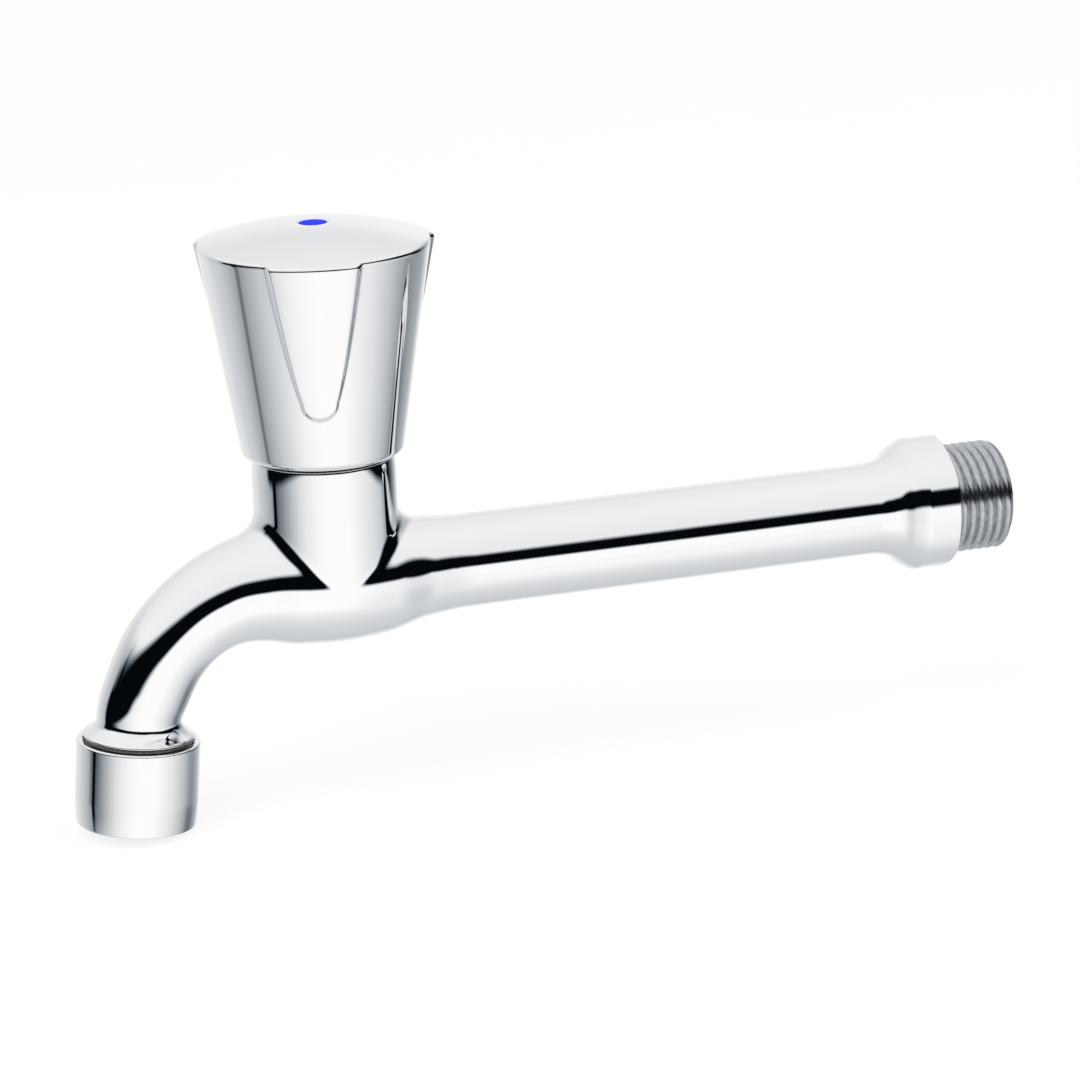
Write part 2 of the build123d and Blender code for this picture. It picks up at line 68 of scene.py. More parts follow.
# Outlet: centre of the sleeve's top, its axis's lean, and heights along that axis
OUTLET_X, OUTLET_Z = -37.65, -26.05
LEAN = math.radians(4.85)
NECK_S, NECK_R = 3.9, 7.85
LIP_R = 10.3
SPIGOT_R, SPIGOT_BORE, SPIGOT_END = 9.95, 7.6, -7.0
SPIGOT_PITCH, SPIGOT_DEPTH = 0.8, 0.16
SLEEVE_R, SLEEVE_BORE, SLEEVE_MOUTH = 11.41, 10.0, 9.0
SLEEVE_STRAIGHT, SLEEVE_DRAWN, SLEEVE_END = -10.6, -15.4, -15.94

THREAD_R, THREAD_PITCH, THREAD_LENGTH = 10.4775, 1.814, 11.85
THREAD_START, THREAD_DEPTH = 4.88, 0.98       # x of a crest at theta 0, and crest to root
BORE_R = 6.2
COLLAR_FLAT, COLLAR_CROWN, COLLAR_CORNER = 12.55, 16.5, 0.08
COLLAR_ROUND = 0.3

RIM_Z, RIM_R, RIM_ROUND = 63.6, 21.3, 0.85
FOOT_Z, FOOT_R, FOOT_ROUND = 24.0, 14.8, 1.6
DOME_TOP = 67.0
DOME_R = (RIM_R ** 2 + (DOME_TOP - RIM_Z) ** 2) / (2 * (DOME_TOP - RIM_Z))
RIB_AZIMUTH = math.radians(-106.5)
RIB_TIP, RIB_ROUND = 34.5, 2.9
RIB_LOW, RIB_HIGH = 0.5, 1.2      # height of a rib at its tip and at the rim
RIB_WALL = 1.05                   # width of a rib's side wall, for each unit of height
BOSS_R, BOSS_BORE, BOSS_FOOT, BOSS_TOP = 9.6, 6.55, 44.0, 60.0
SCREW_HOLE_R, PLUG_R, DISC_R = 3.0, 2.95, 2.6


# Curves

def hermite(knots, values, slopes, u):
    """Cubic pieces that pass through values at the knots with the given slopes."""
    i = np.clip(np.searchsorted(knots, u, side="right") - 1, 0, len(knots) - 2)
    span = (knots[i + 1] - knots[i])
    t = (u - knots[i]) / span
    a, b = values[i], values[i + 1]
    p, q = slopes[i] * span, slopes[i + 1] * span
    return a + t * (p + t * (3 * (b - a) - 2 * p - q + t * (2 * (a - b) + p + q)))


def eased_slopes(knots, values):
    """Slopes that keep a curve through the knots from overshooting: the harmonic mean of the
    rises on both sides, or level where these differ in sign and at the ends."""
    rise = np.diff(values) / np.diff(knots)
    a, b = rise[:-1], rise[1:]
    mean = np.where(a * b > 0, 2 * a * b / np.where(a + b == 0, 1, a + b), 0)
    return np.concatenate([[0], mean, [0]])


def smooth_slopes(knots, values, first, last):
    """Slopes that make the curvature continuous, with the end slopes given."""
    h = np.diff(knots)
    n = len(knots)
    system, right = np.eye(n), np.zeros(n)
    right[0], right[-1] = first, last
    k = np.arange(1, n - 1)
    system[k, k - 1] = 1 / h[:-1]
    system[k, k] = 2 / h[:-1] + 2 / h[1:]
    system[k, k + 1] = 1 / h[1:]
    rise = np.diff(values)
    right[k] = 3 * (rise[:-1] / h[:-1] ** 2 + rise[1:] / h[1:] ** 2)
    return np.linalg.solve(system, right)


def outline(corners, spacing):
    """Closed line through corners of (radius, height, rounding). Each corner is an arc of its
    own rounding, and straight runs are cut so that no cell is longer than spacing."""
    place = np.array([c[:2] for c in corners], float)
    arcs = []
    for i, (_, _, rounding) in enumerate(corners):
        to_last = place[i - 1] - place[i]
        to_next = place[(i + 1) % len(place)] - place[i]
        legs = np.linalg.norm(to_last), np.linalg.norm(to_next)
        to_last, to_next = to_last / legs[0], to_next / legs[1]
        half = math.acos(max(-1, min(1, to_last @ to_next))) / 2
        if rounding == 0 or half > 1.56:
            arcs.append(place[i][None])
            continue
        cut = min(rounding / math.tan(half), 0.45 * legs[0], 0.45 * legs[1])
        t = np.linspace(0, 1, 9)[:, None]
        turn = math.pi - 2 * half
        inwards = (to_last + to_next) / np.linalg.norm(to_last + to_next)
        middle = place[i] + inwards * cut / math.cos(half)
        start, end = place[i] + to_last * cut - middle, place[i] + to_next * cut - middle
        arcs.append(middle + (start * np.sin((1 - t) * turn) + end * np.sin(t * turn)) / math.sin(turn))
    line = []
    for arc, following in zip(arcs, arcs[1:] + arcs[:1]):
        line.append(arc)
        run = np.linalg.norm(following[0] - arc[-1])
        steps = max(1, math.ceil(run / spacing))
        t = np.linspace(0, 1, steps + 1)
        if run > 0.3:
            t = np.unique(np.concatenate([t, [0.05 / run, 1 - 0.05 / run]]))
        line.append(arc[-1] + (following[0] - arc[-1]) * t[1:-1, None])
    return np.concatenate(line)


# Meshes

def quads(index, wrap_rows=False, wrap_columns=True):
    """The four corners of every cell of a grid of vertex numbers."""
    if wrap_rows:
        index = np.vstack([index, index[:1]])
    if wrap_columns:
        index = np.hstack([index, index[:, :1]])
    return np.stack([index[:-1, :-1], index[1:, :-1], index[1:, 1:], index[:-1, 1:]], -1).reshape(-1, 4)


def cells(grid, **wrap):
    return quads(np.arange(grid.shape[0] * grid.shape[1]).reshape(grid.shape[:2]), **wrap)


def make(name, patches, body, slot, *nodes):
    """One closed mesh from patches of (points, faces). Points at the same place are merged,
    which closes seams and poles, and the faces are turned outwards."""
    points = np.concatenate([p.reshape(-1, 3) for p, _ in patches])
    counts = np.cumsum([0] + [p.size // 3 for p, _ in patches])
    faces = np.concatenate([f + n for (_, f), n in zip(patches, counts)])
    mesh = bpy.data.meshes.new(name)
    mesh.from_pydata(((points - (REACH, 0, 0)) * MM).tolist(), [], faces.tolist())
    work = bmesh.new()
    work.from_mesh(mesh)
    bmesh.ops.remove_doubles(work, verts=work.verts, dist=2e-7)
    bmesh.ops.recalc_face_normals(work, faces=work.faces)
    work.to_mesh(mesh)
    work.free()
    mesh.shade_smooth()
    piece = bpy.data.objects.new(name, mesh)
    bpy.context.scene.collection.objects.link(piece)
    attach(piece, body)
    if nodes:
        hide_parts(*nodes)
    return piece


def turned(line, columns):
    """A (radius, height) line carried round the Z axis."""
    a = np.arange(columns) * 2 * math.pi / columns
    r, z = line[:, :1], line[:, 1:]
    return np.stack([r * np.cos(a), r * np.sin(a), z + 0 * a], -1)


def on_outlet(grid):
    """Turns points made about Z to the outlet's leaning axis."""
    x, y, z = grid[..., 0], grid[..., 1], grid[..., 2]
    c, s = math.cos(LEAN), math.sin(LEAN)
    return np.stack([OUTLET_X + c * x + s * z, y, OUTLET_Z - s * x + c * z], -1)


# Casting

def neck_point(s):
    return OUTLET_X + math.sin(LEAN) * s, OUTLET_Z + math.cos(LEAN) * s


def spout_path():
    """Knots by chord length from the arm to the neck, and the slopes of the centre line
    (continuous curvature) and of the half width and half height (no overshoot)."""
    rows = np.vstack([STATIONS, (*neck_point(NECK_S), NECK_R, NECK_R)])
    knots = np.concatenate([[0], np.cumsum(np.hypot(*np.diff(rows[:, :2], axis=0).T))])
    slopes = [
        smooth_slopes(knots, rows[:, 0], -1, -math.sin(LEAN)),
        smooth_slopes(knots, rows[:, 1], 0, -math.cos(LEAN)),
        eased_slopes(knots, rows[:, 2]),
        eased_slopes(knots, rows[:, 3]),
    ]
    return knots, rows, slopes


def along_spout(path, u):
    """Centre x and z, half width, half height, and unit normal x and z at u."""
    knots, rows, slopes = path
    x, z, wide, high = (hermite(knots, rows[:, k], slopes[k], u) for k in range(4))
    step = 1e-3
    dx, dz = (
        hermite(knots, rows[:, k], slopes[k], u + step) - hermite(knots, rows[:, k], slopes[k], u - step)
        for k in range(2)
    )
    size = np.hypot(dx, dz)
    return x, z, wide, high, dz / size, -dx / size


def tube_distance(path, p):
    """How far points lie outside the barrel: at the nearest section, the gap to its ellipse
    along the ray from the centre."""
    knots = path[0]
    table = np.linspace(0, knots[-1], 400)
    table_x = along_spout(path, table)[0]
    u = np.interp(-p[:, 0], -table_x, table)
    for _ in range(3):
        x, z, wide, high, nx, nz = along_spout(path, u)
        u = np.clip(u - (p[:, 0] - x) * nz + (p[:, 2] - z) * nx, 0, knots[-1])
    x, z, wide, high, nx, nz = along_spout(path, u)
    up = (p[:, 0] - x) * nx + (p[:, 2] - z) * nz
    size = np.hypot(p[:, 1], up) + 1e-9
    return size - size / np.hypot(p[:, 1] / wide, up / high)


def slope_of(field, p, step=0.02):
    """Gradient of a field at points, by central differences."""
    return np.stack([field(p + d) - field(p - d) for d in np.eye(3) * step], -1) / (2 * step)


def blended(path, p):
    """Distance outside the barrel and tower together, with a fillet rolled between them: in the
    wedge that the ball of the blend radius covers, the distance is the ball's."""
    def tube(q):
        return tube_distance(path, q)

    d1, g1 = tube(p), slope_of(tube, p)
    size = np.linalg.norm(g1, axis=1)
    d1, g1 = d1 / size, g1 / size[:, None]
    rho = np.hypot(p[:, 0], p[:, 1])
    d2 = rho - tower_radius(p[:, 2])
    turn = np.clip((g1[:, 0] * p[:, 0] + g1[:, 1] * p[:, 1]) / rho, -1, 1)
    a, b = TOWER_BLEND - d1, TOWER_BLEND - d2
    wedge = (a > b * turn) & (b > a * turn) & (a > 0) & (b > 0)
    ball = np.sqrt(np.maximum(a * a + b * b - 2 * a * b * turn, 0) / np.maximum(1 - turn * turn, 1e-4))
    return np.where(wedge, TOWER_BLEND - ball, np.minimum(d1, d2))


def tower_radius(z):
    """The tower is straight, then draws in a little below its top."""
    return TOWER_R - TOWER_EASE * np.clip(z - TOWER_STRAIGHT, 0, None) ** 2


def tower_hollow():
    """Radius and height from the tower's wall over its rounded rim, down the bonnet's screw seat
    and the valve chamber, and up over the valve seat to the floor of the seat's bore."""
    brim = TOWER_TOP - 0.33
    edge = tower_radius(brim)
    return np.array([
        (tower_radius(TOWER_TOP - 0.9), TOWER_TOP - 0.9),
        (tower_radius(TOWER_TOP - 0.6), TOWER_TOP - 0.6),
        (edge, brim), (edge - 0.06, TOWER_TOP - 0.15), (edge - 0.16, TOWER_TOP - 0.05),
        (edge - 0.33, TOWER_TOP), (edge - 0.8, TOWER_TOP),
        (10.45, TOWER_TOP), (SCREW_SEAT_R, TOWER_TOP - 0.1), (SCREW_SEAT_R, SCREW_SEAT_Z),
        (CHAMBER_R, SCREW_SEAT_Z), (CHAMBER_R, CHAMBER_Z),
        (SEAT_R, CHAMBER_Z), (SEAT_R, SEAT_Z), (SEAT_BORE, SEAT_Z), (SEAT_BORE, SEAT_FOOT_Z),
        (0, SEAT_FOOT_Z),
    ])


def tower_patch(path, rim):
    """The tower's wall and fillet. Each column runs from a point of the barrel (rim, in order
    round the tower) up to the tower's top. A first guess follows the barrel, then the wall; it
    is evened out and moved along the gradient until the blended distance is nought."""
    azimuth = np.arctan2(rim[:, 1], rim[:, 0])
    out = np.stack([np.cos(azimuth), np.sin(azimuth)], -1) * TOWER_R
    wide = np.interp(-out[:, 0], -STATIONS[:, 0], STATIONS[:, 2])
    high = np.interp(-out[:, 0], -STATIONS[:, 0], STATIONS[:, 3])
    foot_z = high * np.sqrt(np.clip(1 - (out[:, 1] / wide) ** 2, 0.02, 1))
    foot = np.column_stack([out, foot_z])
    head_z = TOWER_TOP - 1.2
    head = np.column_stack([out * tower_radius(head_z) / TOWER_R, np.full(len(out), head_z)])
    def field(q):
        return blended(path, q)

    share = np.linspace(0, 1, 46)[:, None, None]
    leg = np.linalg.norm(foot - rim, axis=1)[None, :, None]
    wall = np.linalg.norm(head - foot, axis=1)[None, :, None]
    t = share * (leg + wall)
    grid = np.where(t < leg, rim + (foot - rim) * t / leg, foot + (head - foot) * (t - leg) / wall)
    for attempt in range(14):
        if attempt < 9:
            around = np.roll(grid, 1, 1) + np.roll(grid, -1, 1)
            grid[1:-1] = (grid[:-2] + grid[2:] + around[1:-1]) / 4
        inner = grid[1:-1].reshape(-1, 3)
        gradient = slope_of(field, inner)
        gap = field(inner) / np.maximum((gradient ** 2).sum(1), 0.25)
        grid[1:-1] = (inner - gap[:, None] * gradient).reshape(grid[1:-1].shape)
    shelf = tower_hollow()
    ring = np.stack([np.cos(azimuth), np.sin(azimuth)], -1)
    rest = np.concatenate([
        shelf[:, None, :1] * ring, np.repeat(shelf[:, None, 1:], len(azimuth), 1)
    ], -1)
    return np.concatenate([grid, rest])


def rounded_hexagon(theta):
    """Distance from the axis to a hexagon whose six sides are crowned by polishing: arcs of the
    crown radius, with the corners between them slightly eased. Corners are at 0, 60 and so on."""
    beta = np.abs((theta % (math.pi / 3)) - math.pi / 6)
    corner = math.pi / 6
    eased = corner - np.sqrt((corner - beta) ** 2 + COLLAR_CORNER ** 2) + COLLAR_CORNER ** 2
    centre = COLLAR_FLAT - COLLAR_CROWN
    return centre * np.cos(eased) + np.sqrt(COLLAR_CROWN ** 2 - (centre * np.sin(eased)) ** 2)


def collar_rows(theta):
    """x and radius of the flare and collar: the arm's circle turns into the hexagon by a share
    that rises along x, with a soft crease at the hexagon's start."""
    knots = np.array([-15.2, -12.3, -10.6, -8.7, -6.9, -6.05, -5.75, -0.3])
    share = np.array([0, 0.085, 0.24, 0.615, 0.91, 0.995, 1.0, 1.0])
    x = np.concatenate([
        np.linspace(-15.2, -6.4, 46), np.linspace(-6.3, -5.7, 9), np.linspace(-5.4, -0.5, 6), [-0.35],
    ])
    part = hermite(knots, share, eased_slopes(knots, share), x)[:, None]
    hexagon = rounded_hexagon(theta)
    r = ARM_R + (hexagon - ARM_R) * part
    bend = np.linspace(0, math.pi / 2, 7)[:, None]
    edge_r = hexagon - COLLAR_ROUND * (1 - np.cos(bend))
    face = np.linspace(0, 1, 5)[1:, None]
    face_r = (hexagon - COLLAR_ROUND - 0.05) * (1 - face) + 9.6 * face
    x = np.concatenate([x, (COLLAR_ROUND * np.sin(bend) - COLLAR_ROUND)[:, 0], np.zeros(4)])
    return x, np.concatenate([r, edge_r, face_r])


def thread_rows(theta):
    """x and radius of the inlet thread: a right-handed helix with full rounded crests and
    narrow roots, that fades out at the shoulder and into the end chamfer."""
    x = np.linspace(0.02, THREAD_LENGTH, 168)
    phase = (x[:, None] - THREAD_START) / THREAD_PITCH + theta / (2 * math.pi)
    away = np.abs(phase - np.round(phase)) * 2
    ridge = np.maximum(1 - away ** 2.1, 0) ** 0.75
    fade = np.clip((x - 0.25) / 1.1, 0, 1)[:, None]
    depth = THREAD_DEPTH * (0.35 + 0.65 * fade * fade * (3 - 2 * fade))
    r = THREAD_R - 0.02 - depth * (1 - ridge)
    start = 9.7 + 3.0 * x[:, None]
    end = THREAD_R - 0.62 + (THREAD_LENGTH - x[:, None])
    soft = 0.08
    for limit in (start, end):
        r = (r + limit - np.sqrt((r - limit) ** 2 + soft * soft)) / 2
    end_r = np.stack([r[-1] * (1 - 0.004), *(r[-1] - inwards for inwards in (0.4, 1.4, 2.6))])
    inner = np.full((4, len(theta)), BORE_R) + np.array([0.35, 0.1, 0, 0])[:, None]
    end_x = THREAD_LENGTH - np.array([0, 0, 0, 0, 0, 0.25, 0.6, 3])
    return np.concatenate([x, end_x]), np.concatenate([r, end_r, inner])


def spigot_rows():
    """Height and radius about the outlet's axis: from the bottom of the spigot's hollow, round
    its end, up the screwed outside and the spout's flared lip to the neck."""
    hollow = np.array([
        (-0.6, 0), (-0.6, 5), (-0.6, SPIGOT_BORE), (-2, SPIGOT_BORE), (SPIGOT_END, SPIGOT_BORE),
    ])
    s = np.linspace(SPIGOT_END, 0.62, 62)
    screw = SPIGOT_R - SPIGOT_DEPTH + SPIGOT_DEPTH * np.cos(s / SPIGOT_PITCH * 2 * math.pi)
    screw = np.minimum(screw, SPIGOT_R - 0.5 + (s - SPIGOT_END))
    lip_top = 0.88
    under = np.array([
        (0.7, 9.99), (0.7, 10.1), (0.71, 10.18), (0.75, 10.25), (0.81, 10.29), (lip_top, LIP_R),
    ])
    t = np.linspace(0, 1, 26)[1:]
    rise = lip_top + (NECK_S - lip_top) * t
    knots = np.array([0.0, 0.17, 0.56, 1.0])
    radius = np.array([LIP_R, LIP_R - 0.42, NECK_R + 0.5, NECK_R])
    slopes = np.array([0.0, -5.2, -2.6, -0.15])
    flare = hermite(knots, radius, slopes, t)
    return np.concatenate([
        hollow, np.column_stack([s, screw]), under, np.column_stack([rise, flare]),
    ])


def casting():
    """The whole cast body as one grid of sections from the spigot's hollow along the spout,
    barrel, arm, collar and thread to the end of the inlet's bore. A section's point is its
    centre + half width sin(theta) sideways + half height cos(theta) upwards. The cells under
    the tower are left out, and the tower's patch takes their place."""
    columns, side = 144, 35
    theta = np.arange(columns) * 2 * math.pi / columns
    path = spout_path()

    outlet = spigot_rows()
    s, r = outlet[:, :1], outlet[:, 1:]
    low = on_outlet(np.stack([-r * np.cos(theta), r * np.sin(theta), s + 0 * theta], -1))

    length = path[0][-1]
    u = np.linspace(length, 0, 214)[1:]
    x, z, wide, high, nx, nz = (v[:, None] for v in along_spout(path, u))
    rise = high * np.cos(theta)
    spout = np.stack([x + nx * rise, wide * np.sin(theta), z + nz * rise], -1)

    arm_x = np.linspace(34, REACH - 15.4, 40)[1:]
    collar_x, collar_r = collar_rows(theta)
    thread_x, thread_r = thread_rows(theta)
    bend = np.linspace(0, math.pi / 2, 9)[1:]
    bore_x = np.concatenate([np.linspace(REACH + 8, 1, 12), 1 - BORE_R * np.sin(bend)]) - REACH
    bore_r = np.concatenate([np.full(12, BORE_R), BORE_R * np.cos(bend)])
    far_x = np.concatenate([arm_x, REACH + collar_x, REACH + thread_x, REACH + bore_x])[:, None]
    far_r = np.concatenate([
        np.full((len(arm_x), columns), ARM_R), collar_r, thread_r, bore_r[:, None] + 0 * theta,
    ])
    far = np.stack([far_x + 0 * theta, far_r * np.sin(theta), far_r * np.cos(theta)], -1)

    body = np.concatenate([low, spout, far])
    centre_x = x[:, 0]
    first = len(low) + int(np.argmin(np.abs(centre_x + 22)))
    last = len(low) + int(np.argmin(np.abs(centre_x - 22)))
    index = np.arange(body.shape[0] * columns).reshape(body.shape[:2])
    keep = np.ones((body.shape[0] - 1, columns), bool)
    keep[first:last, :side] = False
    keep[first:last, -side:] = False
    faces = quads(index)[keep.reshape(-1)]

    across = np.arange(-side, side)
    down = np.arange(first, last)
    loop_rows = np.concatenate([np.full(2 * side, first), down, np.full(2 * side, last), down[::-1] + 1])
    loop_columns = np.concatenate([
        across, np.full(len(down), side), -across, np.full(len(down), -side),
    ])
    tower = tower_patch(path, body[loop_rows, loop_columns])
    return make("casting", [(body, faces), (tower, cells(tower))], "body", "chrome_body", "tap_body")


# Handle

def rib_half_width(z):
    """Half width of a rib's outer face: a smooth curve from the rounded tip through the widths
    seen at four heights, carried on a little above the rim."""
    knots = np.array([RIB_TIP + RIB_ROUND, 42.4, 48.3, 58.2, 64.0, 72.0])
    width = np.array([RIB_ROUND, 4.15, 5.3, 6.95, 7.75, 8.6])
    slopes = eased_slopes(knots, width)
    slopes[0], slopes[-1] = 0.3, 0.1
    return hermite(knots, width, slopes, np.clip(z, knots[0], knots[-1]))


def dome_z(r):
    return DOME_TOP - DOME_R + np.sqrt(DOME_R ** 2 - r ** 2)


def soft_ramp(t, soft=0.16):
    """Nought below 0 and one above 1, with rounded ends."""
    return (np.sqrt(t * t + soft * soft) - np.sqrt((t - 1) ** 2 + soft * soft) + 1) / 2


def knob_skin(z, q):
    """Radius and angle of the knob at height z and place q across one third of it (rib centre
    at 0, edges at -1 and 1). The rib adds its height to the cone, less a sloping side wall
    whose distance is measured square to the rib's outline, round at the tip. Columns crowd
    together on the side wall: face_share and wall_share are the parts of q before and past it."""
    cone = FOOT_R + (RIM_R - FOOT_R) * (z - FOOT_Z) / (RIM_Z - FOOT_Z)
    high = RIB_LOW + (RIB_HIGH - RIB_LOW) * np.clip((z - RIB_TIP) / (RIM_Z - RIB_TIP), 0, 1.1)
    width = rib_half_width(z)
    half = cone * math.pi / 3
    a = np.abs(q)
    face_share, wall_share = 0.34, 0.26
    past = 1 - face_share - wall_share
    top, foot = width - 0.35, width + RIB_WALL * high + 0.4
    on_wall = top + (foot - top) * (a - face_share) / wall_share
    beyond = foot + (half - foot) * (a - face_share - wall_share) / past
    across = np.where(a < face_share, top * a / face_share, np.where(a < 1 - past, on_wall, beyond))
    tip_z = RIB_TIP + RIB_ROUND
    beside = (across - width) * 0.98
    below = np.hypot(across, z - tip_z) - RIB_ROUND
    away = np.where(z < tip_z, below, beside)
    bump = high * (1 - soft_ramp(away / (RIB_WALL * high)))
    return cone + bump, np.sign(q) * across / cone


def knob():
    """Radius, height and angle over a third of the knob's surface, once round its wall: out over
    the dome, round the rim, down the cone with its rib, round the foot, up the inside and down
    the boss."""
    q = np.linspace(-1, 1, 150, endpoint=False)
    edge_z = np.full_like(q, RIM_Z)
    for _ in range(6):
        edge_r, edge_turn = knob_skin(edge_z, q)
        edge_z = dome_z(edge_r)
    lean = math.atan2(RIM_R - FOOT_R, RIM_Z - FOOT_Z)
    foot_centre = FOOT_R + FOOT_ROUND * math.tan(lean) - FOOT_ROUND / math.cos(lean)
    foot_end = FOOT_Z + FOOT_ROUND * (1 - math.sin(lean))

    hole_edge = SCREW_HOLE_R + 0.04
    t = np.linspace(0, 1, 30)[:, None]
    dome_r = hole_edge + (edge_r - RIM_ROUND - hole_edge) * t
    turn = np.repeat(edge_turn[None], len(t), 0)
    rows = [(dome_r, dome_z(dome_r), turn)]

    down_z = edge_z - RIM_ROUND
    down_r, down_turn = knob_skin(down_z, q)
    t = np.linspace(0, 1, 10)[1:-1, None]
    a, b, c = (1 - t) ** 2, 2 * t * (1 - t), t * t
    rows.append((
        a * (edge_r - RIM_ROUND) + b * edge_r + c * down_r,
        a * dome_z(edge_r - RIM_ROUND) + b * edge_z + c * down_z,
        edge_turn + (down_turn - edge_turn) * t,
    ))

    t = np.linspace(0, 1, 120)[:, None]
    z = down_z + (foot_end - down_z) * t
    r, turn = knob_skin(z, q[None])
    rows.append((r, z, turn))
    low_turn = turn[-1]

    bend = np.linspace(-lean, -math.pi / 2, 12)[1:]
    foot = FOOT_ROUND * np.column_stack([np.cos(bend), 1 + np.sin(bend)]) + (foot_centre, FOOT_Z)
    hollow = [
        (13.1, FOOT_Z), (12.85, FOOT_Z + 0.03), (12.75, FOOT_Z + 0.15), (12.75, FOOT_Z + 1),
        (13.5, FOOT_Z + 2.5), (18.9, 61.5), (18.3, 61.9), (BOSS_R + 0.1, 63.8), (BOSS_R, 63.6),
        (BOSS_R, BOSS_FOOT + 0.1), (BOSS_R - 0.1, BOSS_FOOT), (BOSS_R - 2, BOSS_FOOT),
    ]
    inside = np.concatenate([foot, hollow])[:, :, None] + 0 * q
    rows.append((inside[:, 0], inside[:, 1], np.repeat(low_turn[None], len(inside), 0)))
    return rows


def knob_piece():
    """Three copies of the third, and the hollow in the boss: six flat sides, then the screw's
    round hole up to the dome."""
    r, z, turn = (np.concatenate(blocks) for blocks in zip(*knob()))
    azimuth = np.concatenate([turn + (RIB_AZIMUTH + k * THIRD) for k in range(3)], 1)
    r, z = np.tile(r, 3), np.tile(z, 3)
    low, ends = azimuth[-1], azimuth[0]
    flat = BOSS_BORE / np.cos((low % (math.pi / 3)) - math.pi / 6)
    hole = np.full_like(low, SCREW_HOLE_R)
    heights = np.array([BOSS_FOOT, BOSS_TOP, BOSS_TOP, 62.0, dome_z(SCREW_HOLE_R) - 0.05])
    r = np.concatenate([r, [flat, flat, hole, hole, hole]])
    z = np.concatenate([z, heights[:, None] + 0 * low])
    azimuth = np.concatenate([azimuth, [low, low, low, ends, ends]])
    grid = np.stack([r * np.cos(azimuth), r * np.sin(azimuth), z], -1)
    return make("knob", [(grid, cells(grid, wrap_rows=True))], "handle", "chrome_handle", "handle_shell")


def index_pieces():
    """The plug's rim and the coloured disc, both turned, with tops on the dome's sphere."""
    plug_foot, recess_r, recess_z = 61.0, DISC_R + 0.04, DOME_TOP - 0.45
    rim = outline([
        (0, plug_foot, 0), (PLUG_R, plug_foot, 0.1), (PLUG_R, dome_z(PLUG_R), 0.1),
        (recess_r, dome_z(recess_r), 0.05), (recess_r, recess_z, 0), (0, recess_z, 0),
    ], 0.4)
    grid = turned(rim, 96)
    make("index_rim", [(grid, cells(grid))], "handle", "index_cream", "index_plug")
    edge = DISC_R - 0.1
    bend = np.linspace(0, math.pi / 2, 6)
    top_r = np.array([0, 0.5, 1.0, 1.6, 2.2, 2.45])
    line = np.concatenate([
        np.column_stack([top_r, dome_z(top_r)]),
        np.column_stack([edge + 0.1 * np.sin(bend), dome_z(edge) - 0.1 * (1 - np.cos(bend))]),
        [(DISC_R, recess_z + 0.01), (0, recess_z + 0.01)],
    ])
    grid = turned(line, 96)
    make("index_dot", [(grid, cells(grid))], "handle", "index_blue", "index_disc")


def sleeve_piece():
    """The outlet's shell, turned about the leaning axis: straight, then drawn in to its rim."""
    s = np.linspace(SLEEVE_STRAIGHT, SLEEVE_DRAWN, 12)
    part = (SLEEVE_STRAIGHT - s) / (SLEEVE_STRAIGHT - SLEEVE_DRAWN)
    drawn = SLEEVE_R - 0.29 * part ** 1.7
    step = -10.2
    corners = [(SLEEVE_R, 0.0, 0.4)] + [(r, h, 0) for r, h in zip(drawn, s)]
    corners += [
        (SLEEVE_R - 0.35, SLEEVE_END, 0.5), (SLEEVE_MOUTH + 0.3, SLEEVE_END, 0.3),
        (SLEEVE_MOUTH, SLEEVE_END + 0.34, 0.2), (SLEEVE_MOUTH, step, 0.1),
        (SLEEVE_BORE, step, 0), (SLEEVE_BORE, -0.5, 0.1), (SLEEVE_BORE + 0.5, 0.0, 0.15),
    ]
    grid = on_outlet(turned(outline(corners, 1.2), 192))
    return make("sleeve", [(grid, cells(grid, wrap_rows=True))], "body", "chrome_sleeve", "outlet_sleeve")


# Camera

PHOTO_SIDE = 1080                 # pixels
FOCAL_LENGTH = 4710.025           # pixels
SENSOR = 36
CAMERA_TURN = 0.32376             # radians from square on, 18.55 degrees
CAMERA_DIP = 0.28254              # 16.19 degrees down
CAMERA_ROLL = -0.03282            # 1.88 degrees
CAMERA_TARGET = (41.311 - REACH, 0, 2.002)
CAMERA_DISTANCE = 881.305


def camera():
    """The camera of the photograph, as fitted to the thread, the knob, the sleeve and the arm."""
    level = math.cos(CAMERA_DIP)
    look = Vector((
        math.sin(CAMERA_TURN) * level, math.cos(CAMERA_TURN) * level, -math.sin(CAMERA_DIP),
    ))
    right = look.cross(Vector((0, 0, 1))).normalized()
    up = right.cross(look)
    c, s = math.cos(CAMERA_ROLL), math.sin(CAMERA_ROLL)
    right, up = c * right + s * up, c * up - s * right
    data = bpy.data.cameras.new("camera")
    data.sensor_width = SENSOR
    data.lens = FOCAL_LENGTH / PHOTO_SIDE * SENSOR
    eye = bpy.data.objects.new("camera", data)
    bpy.context.scene.collection.objects.link(eye)
    place = Matrix((right, up, -look)).transposed().to_4x4()
    place.translation = Vector(CAMERA_TARGET) * MM - look * CAMERA_DISTANCE * MM
    eye.matrix_world = place
    bpy.context.scene.camera = eye


# Finishes

def add(tree, kind, inputs=None, **settings):
    """A node with its settings. Each input is a number, a colour or another node's output."""
    node = tree.nodes.new("ShaderNode" + kind)
    for name, value in settings.items():
        setattr(node, name, value)
    for key, value in (inputs or {}).items():
        if isinstance(value, bpy.types.NodeSocket):
            tree.links.new(value, node.inputs[key])
        else:
            node.inputs[key].default_value = value
    return node


def maths(tree, operation, *terms):
    return add(tree, "Math", dict(enumerate(terms)), operation=operation).outputs[0]


